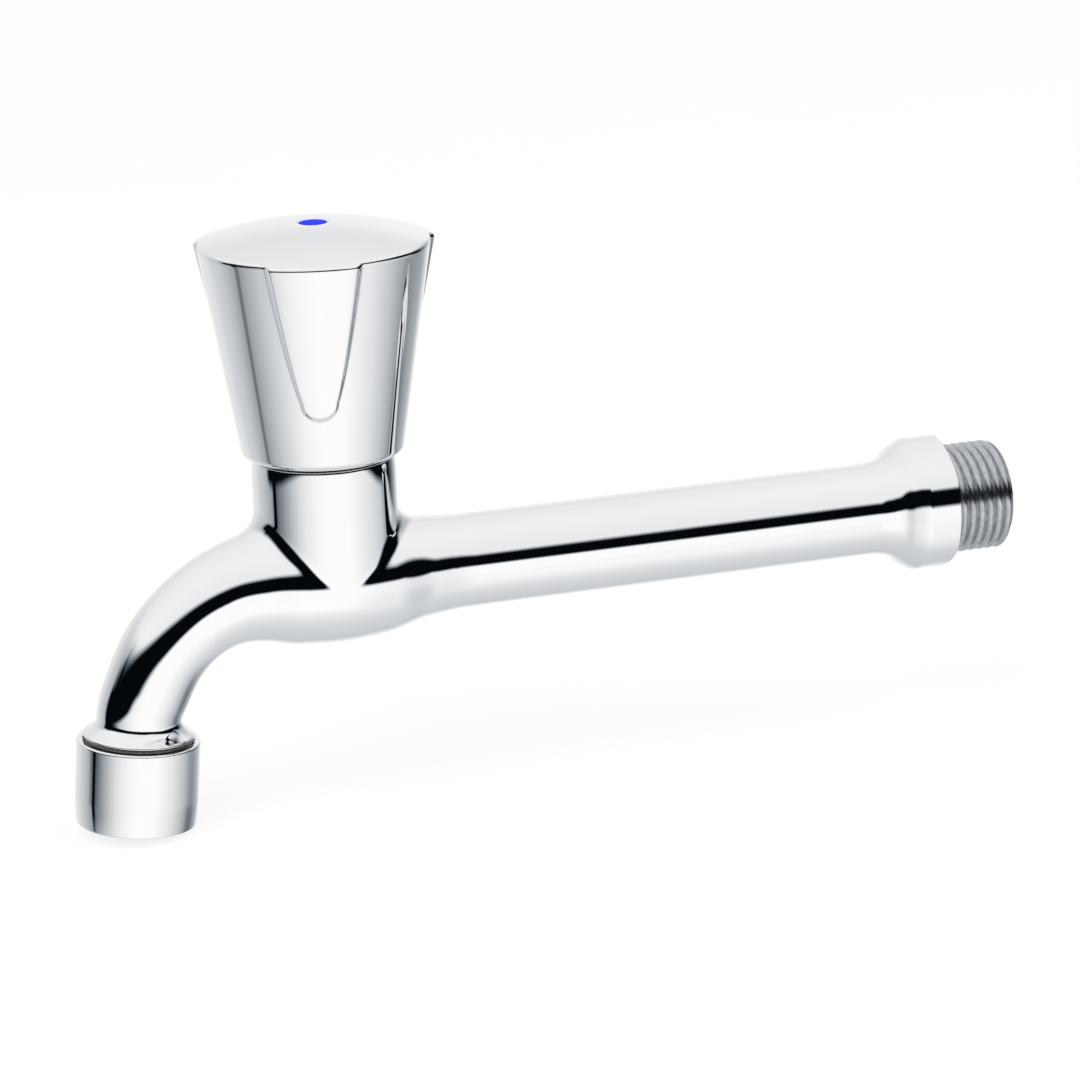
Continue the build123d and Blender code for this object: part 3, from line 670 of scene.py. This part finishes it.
def spread(tree, value, low, high, to_low=0.0, to_high=1.0):
    """Carries value from low..high to to_low..to_high, with eased ends."""
    inputs = {"Value": value, "From Min": low, "From Max": high, "To Min": to_low, "To Max": to_high}
    return add(tree, "MapRange", inputs, interpolation_type="SMOOTHSTEP").outputs[0]


def mottle(tree, where, scale, detail=2.0):
    """Cloudy values from 0 to 1, with scale clouds to the metre."""
    return add(tree, "TexNoise", {"Vector": where, "Scale": scale, "Detail": detail}).outputs["Fac"]


def stretched(tree, where, scale, turn=(0, 0, 0), centre=(0, 0, 0)):
    """The place on the piece, turned and scaled, for marks that run one way."""
    moved = add(tree, "VectorMath", {0: where, 1: centre}, operation="SUBTRACT").outputs[0]
    return add(tree, "Mapping", {"Vector": moved, "Rotation": turn, "Scale": scale}).outputs[0]


def between(tree, share, first, second):
    """From first to second by share. Both are colours, or numbers, which count as greys."""
    greys = [v if not isinstance(v, (int, float)) else (v, v, v, 1) for v in (first, second)]
    return add(tree, "Mix", {0: share, 6: greys[0], 7: greys[1]}, data_type="RGBA").outputs[2]


def raised(tree, height, distance, under=None):
    """Surface relief of height 0 to 1 times distance, in metres, on top of other relief."""
    inputs = {"Height": height, "Distance": distance, "Strength": 1.0}
    if under is not None:
        inputs["Normal"] = under
    return add(tree, "Bump", inputs).outputs[0]


def finish(name):
    """A new material: its tree, its shader, and the place on the piece."""
    material = bpy.data.materials.new(name)
    material.use_nodes = True
    tree = material.node_tree
    shader = tree.nodes["Principled BSDF"]
    return material, tree, shader, add(tree, "TexCoord").outputs["Object"]


def feed(tree, shader, **values):
    """Gives the shader's inputs their numbers or their nodes."""
    for key, value in values.items():
        socket = shader.inputs[key.replace("_", " ")]
        if isinstance(value, bpy.types.NodeSocket):
            tree.links.new(value, socket)
        else:
            socket.default_value = value


def distance_from(tree, where, centre, axis):
    """Distance of the surface from the line through centre along axis."""
    moved = add(tree, "VectorMath", {0: where, 1: centre}, operation="SUBTRACT").outputs[0]
    cross = add(tree, "VectorMath", {0: moved, 1: axis}, operation="CROSS_PRODUCT").outputs[0]
    return add(tree, "VectorMath", {0: cross}, operation="LENGTH").outputs["Value"]


def height_along(tree, where, centre, axis):
    """How far the surface lies from centre along axis."""
    moved = add(tree, "VectorMath", {0: where, 1: centre}, operation="SUBTRACT").outputs[0]
    return add(tree, "VectorMath", {0: moved, 1: axis}, operation="DOT_PRODUCT").outputs["Value"]


PLATE, SMEARED_PLATE = (0.865, 0.872, 0.885, 1), (0.845, 0.853, 0.868, 1)
# A point on each axis and its direction, for marks that go round it
INLET_LINE = ((0, 0, 0), (1, 0, 0))
VALVE_LINE = ((-REACH * MM, 0, 0), (0, 0, 1))
OUTLET_LINE = (((OUTLET_X - REACH) * MM, 0, OUTLET_Z * MM), (math.sin(LEAN), 0, math.cos(LEAN)))


def plated(tree, where, wave, wave_height):
    """Polished plating: slow waves left by the polishing wheel, fine lines, and faint smears
    that change the gloss. Returns colour, roughness and relief."""
    slow = raised(tree, mottle(tree, where, wave, 1.0), wave_height)
    lines = mottle(tree, stretched(tree, where, (160, 1500, 1500), turn=(0.5, 0.3, 0.2)), 1.0, 3.0)
    relief = raised(tree, lines, 2.5e-7, slow)
    smears = mottle(tree, where, 42.0, 3.0)
    gloss = spread(tree, smears, 0.35, 0.75, 0.012, 0.048)
    tint = between(tree, spread(tree, smears, 0.3, 0.8), PLATE, SMEARED_PLATE)
    return tint, gloss, relief


def casting_finish():
    """Plated brass. The pipe thread is cut through the plating's polish and is duller, with
    turning lines; the spigot's screw is rough, and the bore shows brass."""
    material, tree, shader, where = finish("chrome_casting")
    tint, gloss, relief = plated(tree, where, 75.0, 1.5e-5)
    x = height_along(tree, where, *INLET_LINE)
    thread = spread(tree, x, 0.0, 0.0004)
    turning = mottle(tree, stretched(tree, where, (5000, 90, 90)), 1.0, 2.0)
    dirt = mottle(tree, where, 900.0, 3.0)
    patches = spread(tree, dirt, 0.35, 0.7)
    thread_tint = between(tree, patches, (0.46, 0.475, 0.495, 1), (0.55, 0.56, 0.58, 1))
    tint = between(tree, thread, tint, thread_tint)
    gloss = between(tree, thread, gloss, spread(tree, turning, 0.3, 0.7, 0.15, 0.23))
    relief = raised(tree, maths(tree, "MULTIPLY", turning, thread), 6e-7, relief)
    from_axis = distance_from(tree, where, *INLET_LINE)
    past_seat = spread(tree, x, -0.118, -0.114)
    bore = maths(tree, "MULTIPLY", spread(tree, from_axis, 0.0093, 0.0088), past_seat)
    bore = maths(tree, "MULTIPLY", bore, spread(tree, from_axis, 0.0068, 0.0064))
    at_end = spread(tree, x, (THREAD_LENGTH - 0.07) * MM, (THREAD_LENGTH - 0.01) * MM)
    end_face = maths(tree, "MULTIPLY", at_end, spread(tree, from_axis, 0.0100, 0.0098))
    brass = maths(tree, "MAXIMUM", bore, end_face)
    bare = between(tree, dirt, (0.60, 0.43, 0.19, 1), (0.78, 0.60, 0.31, 1))
    tint = between(tree, brass, tint, bare)
    gloss = between(tree, brass, gloss, 0.3)
    up = height_along(tree, where, *OUTLET_LINE)
    spigot = spread(tree, up, 0.00069, 0.0006)
    dark_metal = between(tree, dirt, (0.10, 0.10, 0.105, 1), (0.28, 0.27, 0.25, 1))
    tint = between(tree, spigot, tint, dark_metal)
    gloss = between(tree, spigot, gloss, 0.42)
    feed(tree, shader, Metallic=1.0, Base_Color=tint, Roughness=gloss, Normal=relief)
    return material


def knob_finish():
    """Plated moulding: smoother than the casting outside, and dull grey inside its wall."""
    material, tree, shader, where = finish("chrome_knob")
    tint, gloss, relief = plated(tree, where, 48.0, 0.7e-5)
    up = height_along(tree, where, *VALVE_LINE)
    skin = 1.1
    wall = add(tree, "MapRange", {
        "Value": up, "From Min": FOOT_Z * MM, "From Max": RIM_Z * MM,
        "To Min": (FOOT_R - skin) * MM, "To Max": (RIM_R - skin) * MM,
    }).outputs[0]
    inside = maths(tree, "LESS_THAN", distance_from(tree, where, *VALVE_LINE), wall)
    under_dome = maths(tree, "LESS_THAN", up, (RIM_Z + 0.35) * MM)
    inside = maths(tree, "MULTIPLY", inside, under_dome)
    grain = mottle(tree, where, 1400.0, 3.0)
    dull = between(tree, grain, (0.30, 0.31, 0.32, 1), (0.44, 0.45, 0.46, 1))
    tint = between(tree, inside, tint, dull)
    gloss = between(tree, inside, gloss, 0.45)
    relief = raised(tree, maths(tree, "MULTIPLY", grain, inside), 1.5e-5, relief)
    feed(tree, shader, Metallic=1.0, Base_Color=tint, Roughness=gloss, Normal=relief)
    return material


def sleeve_finish():
    """Plated turning: fine rings round the outlet's axis, under the plating."""
    material, tree, shader, where = finish("chrome_sleeve_turned")
    tint, gloss, relief = plated(tree, where, 60.0, 0.8e-5)
    up = height_along(tree, where, *OUTLET_LINE)
    rings = add(tree, "TexNoise", {"W": up, "Scale": 3200.0, "Detail": 2.0}, noise_dimensions="1D")
    relief = raised(tree, rings.outputs["Fac"], 5e-7, relief)
    feed(tree, shader, Metallic=1.0, Base_Color=tint, Roughness=gloss, Normal=relief)
    return material


def turned_metal(name, pale, dark, rough, lines=4200.0):
    """Bare machined metal: turning rings by height (lines to the metre), tarnish in clouds, and
    small pits."""
    material, tree, shader, where = finish(name)
    rings = mottle(tree, stretched(tree, where, (90, 90, lines)), 1.0, 2.0)
    clouds = mottle(tree, where, 160.0, 4.0)
    pits = mottle(tree, where, 2600.0, 2.0)
    tint = between(tree, spread(tree, clouds, 0.35, 0.7), pale, dark)
    gloss = spread(tree, clouds, 0.3, 0.75, rough, rough + 0.16)
    relief = raised(tree, pits, 3e-6, raised(tree, rings, 5e-6))
    feed(tree, shader, Metallic=1.0, Base_Color=tint, Roughness=gloss, Normal=relief)
    return material


def pressed_fibre():
    """Red vulcanised fibre: fine flecks and a dry, slightly rough face, its outer edge dark."""
    material, tree, shader, where = finish("red_fibre")
    flecks = mottle(tree, stretched(tree, where, (2600, 2600, 700)), 1.0, 4.0)
    tint = between(tree, spread(tree, flecks, 0.3, 0.7), (0.30, 0.055, 0.035, 1), (0.46, 0.12, 0.07, 1))
    from_axis = distance_from(tree, where, *VALVE_LINE)
    tint = between(tree, spread(tree, from_axis, 0.0114, 0.0119), tint, (0.015, 0.012, 0.011, 1))
    feed(tree, shader, Base_Color=tint, Roughness=spread(tree, flecks, 0.3, 0.7, 0.7, 0.9),
         Normal=raised(tree, flecks, 2e-5))
    return material


def soft_rubber(name, shade, bloom):
    """Black rubber with a grey bloom in patches and a fine moulded skin."""
    material, tree, shader, where = finish(name)
    patches = mottle(tree, where, 420.0, 4.0)
    skin = mottle(tree, where, 3800.0, 2.0)
    black, grey = (shade, shade, shade * 1.05, 1), (bloom, bloom, bloom, 1)
    tint = between(tree, spread(tree, patches, 0.4, 0.8), black, grey)
    feed(tree, shader, Base_Color=tint, Roughness=spread(tree, patches, 0.3, 0.8, 0.48, 0.68),
         Normal=raised(tree, skin, 8e-6))
    return material


def moulded(name, colour, second, rough, grain, depth, coat=0.0, shine=0.5):
    """Moulded plastic: a faint cloud in the colour, a fine grain (how many to the metre, and how
    deep in metres), and flow marks between two roughnesses. Coat and shine are even."""
    material, tree, shader, where = finish(name)
    clouds = mottle(tree, where, 260.0, 3.0)
    skin = mottle(tree, where, grain, 3.0)
    tint = between(tree, spread(tree, clouds, 0.3, 0.75), colour, second)
    feed(tree, shader, Base_Color=tint, Roughness=spread(tree, clouds, 0.3, 0.7, *rough),
         Normal=raised(tree, skin, depth), Coat_Weight=coat, Coat_Roughness=0.04,
         Specular_IOR_Level=shine)
    return material


def dress():
    """Gives every new piece and every carried-over node its finish."""
    brass = turned_metal("brass_headwork", (0.78, 0.60, 0.31, 1), (0.62, 0.44, 0.20, 1), 0.20)
    spindle_brass = turned_metal(
        "brass_turned", (0.76, 0.58, 0.30, 1), (0.66, 0.47, 0.22, 1), 0.16, lines=6500.0)
    steel = turned_metal(
        "bright_steel", (0.66, 0.66, 0.67, 1), (0.52, 0.52, 0.54, 1), 0.16, lines=5200.0)
    seal = soft_rubber("seal_black", shade=0.018, bloom=0.045)
    washer = soft_rubber("washer_black", shade=0.026, bloom=0.060)
    slip = moulded(
        "slip_white", (0.82, 0.81, 0.77, 1), (0.76, 0.75, 0.71, 1),
        rough=(0.30, 0.42), grain=1800.0, depth=5e-6)
    core = moulded(
        "core_white", (0.70, 0.68, 0.61, 1), (0.64, 0.62, 0.55, 1),
        rough=(0.38, 0.55), grain=1500.0, depth=1.2e-5)
    cream = moulded(
        "rim_cream", (0.86, 0.84, 0.77, 1), (0.82, 0.80, 0.73, 1),
        rough=(0.10, 0.18), grain=1200.0, depth=1e-6, coat=0.5)
    blue = moulded(
        "disc_blue", (0.010, 0.022, 0.72, 1), (0.016, 0.032, 0.84, 1),
        rough=(0.2, 0.3), grain=1600.0, depth=2e-6, shine=0.004)
    white = moulded(
        "aerator_white", (0.72, 0.72, 0.71, 1), (0.66, 0.66, 0.64, 1),
        rough=(0.30, 0.46), grain=1600.0, depth=8e-6)
    grey = moulded(
        "screen_grey", (0.42, 0.43, 0.44, 1), (0.34, 0.35, 0.36, 1),
        rough=(0.30, 0.45), grain=2200.0, depth=6e-6)
    finishes = {
        "casting": casting_finish(), "knob": knob_finish(), "sleeve": sleeve_finish(),
        "index_rim": cream, "index_dot": blue, "bonnet_gasket": pressed_fibre(), "bonnet": brass,
        "spindle": spindle_brass, "valve_carrier": spindle_brass, "washer_screw": spindle_brass,
        "spindle_o_ring_lower": seal, "spindle_o_ring_upper": seal, "outlet_gasket": seal,
        "thrust_washer": slip, "retaining_ring": steel, "handle_screw": steel,
        "valve_washer": washer, "handle_core": core, "aerator_cage": white,
        "aerator_diffuser": white, "aerator_inlet_screen": grey, "aerator_outlet_screen": grey,
    }
    for name, material in finishes.items():
        mesh = bpy.data.objects[name].data
        mesh.materials.clear()
        mesh.materials.append(material)


# Studio

# How bright the tent's wall is, by degrees from the front towards +X: at about eye level, and
# further down. Right in front is the middle of the list.
TENT = [
    (-180, 0.90), (-153, 0.82), (-141, 0.70), (-129, 0.61), (-117, 0.49), (-112, 0.43), (-108.5, 0.36),
    (-106, 0.0), (-100.6, 0.0), (-99, 0.15), (-93, 0.24), (-87, 0.31), (-81, 0.41), (-75, 0.51),
    (-69, 0.62), (-57, 0.82), (-45, 0.95), (-30, 1.06), (-15, 1.12), (20, 1.12), (42, 0.98), (60, 0.86),
    (81, 0.70), (93, 0.65), (99, 0.59), (105, 0.53), (111, 0.49), (129, 0.57), (141, 0.78), (150, 1.0),
    (180, 0.90),
]
TENT_LOW = [
    (-180, 0.92), (-153, 0.84), (-129, 0.68), (-117, 0.55), (-111, 0.46), (-107.5, 0.42), (-105.5, 0.20),
    (-102.5, 0.19), (-100.5, 0.38), (-93, 0.48), (-81, 0.62), (-69, 0.75), (-57, 0.87), (-45, 1.0),
    (-30, 1.08), (-15, 1.13), (15, 1.12), (39, 0.96), (51, 0.87), (63, 0.74), (75, 0.60), (87, 0.43),
    (93, 0.28), (99, 0.21), (105, 0.19), (111, 0.23), (117, 0.32), (129, 0.46), (141, 0.70), (153, 0.90),
    (180, 0.92),
]
# Brightness of the roof and the ground, by degrees from the front horizon upwards
ROOF = [
    (-180, 0.70), (-150, 0.68), (-125, 0.66), (-105, 0.71), (-85, 0.76), (-75, 0.80), (-65, 0.86),
    (-55, 0.93), (-45, 1.0), (-30, 1.08), (0, 1.08), (35, 0.95), (50, 0.97), (75, 1.0), (95, 1.0),
    (115, 0.97), (135, 0.94), (150, 0.88), (165, 0.82), (180, 0.82),
]
# Top and foot of the dark opening round the camera, in degrees above the horizon
OPENING_TOP = [
    (-125, 6), (-114, 12), (-90, 18), (-66, 24), (-44, 28), (-26, 29), (-12, 31), (6, 30), (18, 24.5),
    (60, 25.5), (78, 22), (96, 8), (126, 2),
]
OPENING_FOOT = [
    (-125, -8), (-112, -13), (-100, -12.5), (-87, -10.5), (-78, -8.5), (-60, -4.5), (-44, -0.5),
    (-28, 0.5), (-8, 0.5), (8, -1), (46, -1), (60, -6.5), (75, -12), (85, -14), (95, -16), (104, -19),
    (126, -19),
]
WALL_LIMITS, OPENING_LIMITS = (0.0, 1.15), (-20.0, 40.0)  # these lists stay between them
# Where one thing gives way to the next, in degrees
LOW_WALL_FROM, GROUND_FROM, ROOF_FROM = (-17.0, -26.0), (-34.0, -54.0), (12.0, 30.0)
OPENING_LEFT, OPENING_RIGHT = (-123.0, -114.0), (138.0, 104.0)
FOOT_EDGE, TOP_EDGE = (-3.0, 3.0), (5.0, -5.0)
DARK = 0.0025                                            # inside the opening
SOFT_LIGHT = 0.62                                        # for all but polished metal


def by_angle(tree, angle, stops, limits):
    """A value that follows (degrees, value) stops from -180 to 180, all between the limits."""
    low, high = limits
    share = maths(tree, "DIVIDE", maths(tree, "ADD", angle, 180.0), 360.0)
    ramp = add(tree, "ValToRGB", {"Fac": share})
    points = ramp.color_ramp.elements
    while len(points) < len(stops):
        points.new(0.5)
    for point, (degrees, value) in zip(points, stops):
        point.position = (degrees + 180) / 360
        level = (value - low) / (high - low)
        point.color = (level, level, level, 1)
    return maths(tree, "ADD", maths(tree, "MULTIPLY", ramp.outputs[0], high - low), low)


def angles_of_view(tree):
    """Of the direction looked in, in degrees: the turn round the horizon from the front towards
    +X, the rise above the horizon, and the angle from the front horizon over the top."""
    way = add(tree, "SeparateXYZ", {0: add(tree, "TexCoord").outputs["Generated"]}).outputs
    front = maths(tree, "MULTIPLY", way[1], -1.0)
    angles = (
        maths(tree, "ARCTAN2", way[0], front),
        maths(tree, "ARCSINE", way[2]),
        maths(tree, "ARCTAN2", way[2], front),
    )
    return [maths(tree, "MULTIPLY", angle, math.degrees(1)) for angle in angles]


def dark_opening(tree, turn, rise):
    """One inside the opening round the camera, nought outside it, soft at its edges."""
    top = by_angle(tree, turn, OPENING_TOP, OPENING_LIMITS)
    foot = by_angle(tree, turn, OPENING_FOOT, OPENING_LIMITS)
    above_foot = spread(tree, maths(tree, "SUBTRACT", rise, foot), *FOOT_EDGE)
    below_top = spread(tree, maths(tree, "SUBTRACT", rise, top), *TOP_EDGE)
    sides = maths(
        tree, "MULTIPLY", spread(tree, turn, *OPENING_LEFT), spread(tree, turn, *OPENING_RIGHT))
    return maths(tree, "MULTIPLY", maths(tree, "MULTIPLY", above_foot, below_top), sides)


def cool_greys(tree, level):
    """A grey level as a colour that gets bluer as it darkens, like a white tent's shaded side."""
    channels = {0: maths(tree, "POWER", level, 1.07), 1: level, 2: maths(tree, "POWER", level, 0.94)}
    return add(tree, "CombineColor", channels).outputs[0]


def studio_world():
    """White for the camera. Polished metal sees a white tent whose wall dims towards its two
    edges, and a dark opening round the camera. Everything else gets plain soft light."""
    world = bpy.data.worlds.new("studio")
    bpy.context.scene.world = world
    world.use_nodes = True
    tree = world.node_tree
    turn, rise, over = angles_of_view(tree)
    wall = by_angle(tree, turn, TENT, WALL_LIMITS)
    low_wall = by_angle(tree, turn, TENT_LOW, WALL_LIMITS)
    roof = by_angle(tree, over, ROOF, WALL_LIMITS)
    wall = between(tree, spread(tree, rise, *LOW_WALL_FROM), wall, low_wall)
    wall = between(tree, spread(tree, rise, *GROUND_FROM), wall, roof)
    wall = between(tree, spread(tree, rise, *ROOF_FROM), wall, roof)
    seen = cool_greys(tree, between(tree, dark_opening(tree, turn, rise), wall, DARK))
    path = add(tree, "LightPath").outputs
    polished = maths(tree, "MAXIMUM", path["Is Glossy Ray"], path["Is Transmission Ray"])
    light = between(tree, polished, SOFT_LIGHT, seen)
    light = between(tree, path["Is Camera Ray"], light, 1.0)
    tree.links.new(light, tree.nodes["Background"].inputs[0])


LAMPS_AIM = Vector((-0.08, 0, 0))
FLOOR_Z, FLOOR_REACH = -0.0436, 6.0


def lamp(name, place, size, power):
    """A soft square lamp aimed at the tap, which polished metal doesn't mirror."""
    data = bpy.data.lights.new(name, "AREA")
    data.size, data.energy = size, power
    panel = bpy.data.objects.new(name, data)
    bpy.context.scene.collection.objects.link(panel)
    panel.location = place
    panel.rotation_euler = (LAMPS_AIM - Vector(place)).to_track_quat("-Z", "Y").to_euler()
    panel.visible_glossy = False


def floor():
    """A wide pale floor just under the outlet. The camera sees it lit to white, less the tap's
    soft shadow, and polished metal sees the tent in its place."""
    mesh = bpy.data.meshes.new("floor")
    signs = ((-1, -1), (1, -1), (1, 1), (-1, 1))
    corners = [(x * FLOOR_REACH, y * FLOOR_REACH, FLOOR_Z) for x, y in signs]
    mesh.from_pydata(corners, [], [(0, 1, 2, 3)])
    slab = bpy.data.objects.new("floor", mesh)
    bpy.context.scene.collection.objects.link(slab)
    material, tree, shader, where = finish("pale_floor")
    shade = mottle(tree, where, 30.0, 3.0)
    feed(tree, shader, Base_Color=between(tree, shade, 0.86, 0.9), Roughness=0.9)
    glow = add(tree, "Emission", {"Strength": 1.045}).outputs[0]
    seen = add(tree, "LightPath").outputs["Is Camera Ray"]
    share = maths(tree, "MULTIPLY", seen, 0.8)
    mix = add(tree, "MixShader", {0: share, 1: shader.outputs[0], 2: glow}).outputs[0]
    tree.links.new(mix, tree.nodes["Material Output"].inputs[0])
    mesh.materials.append(material)
    slab.visible_glossy = False


camera()
casting()
knob_piece()
index_pieces()
sleeve_piece()
dress()
studio_world()
lamp("key", place=(-0.7, -0.6, 1.1), size=0.9, power=9.0)
lamp("fill", place=(0.8, -0.3, 0.9), size=0.9, power=5.0)
floor()
bpy.context.scene.view_settings.view_transform = "Standard"
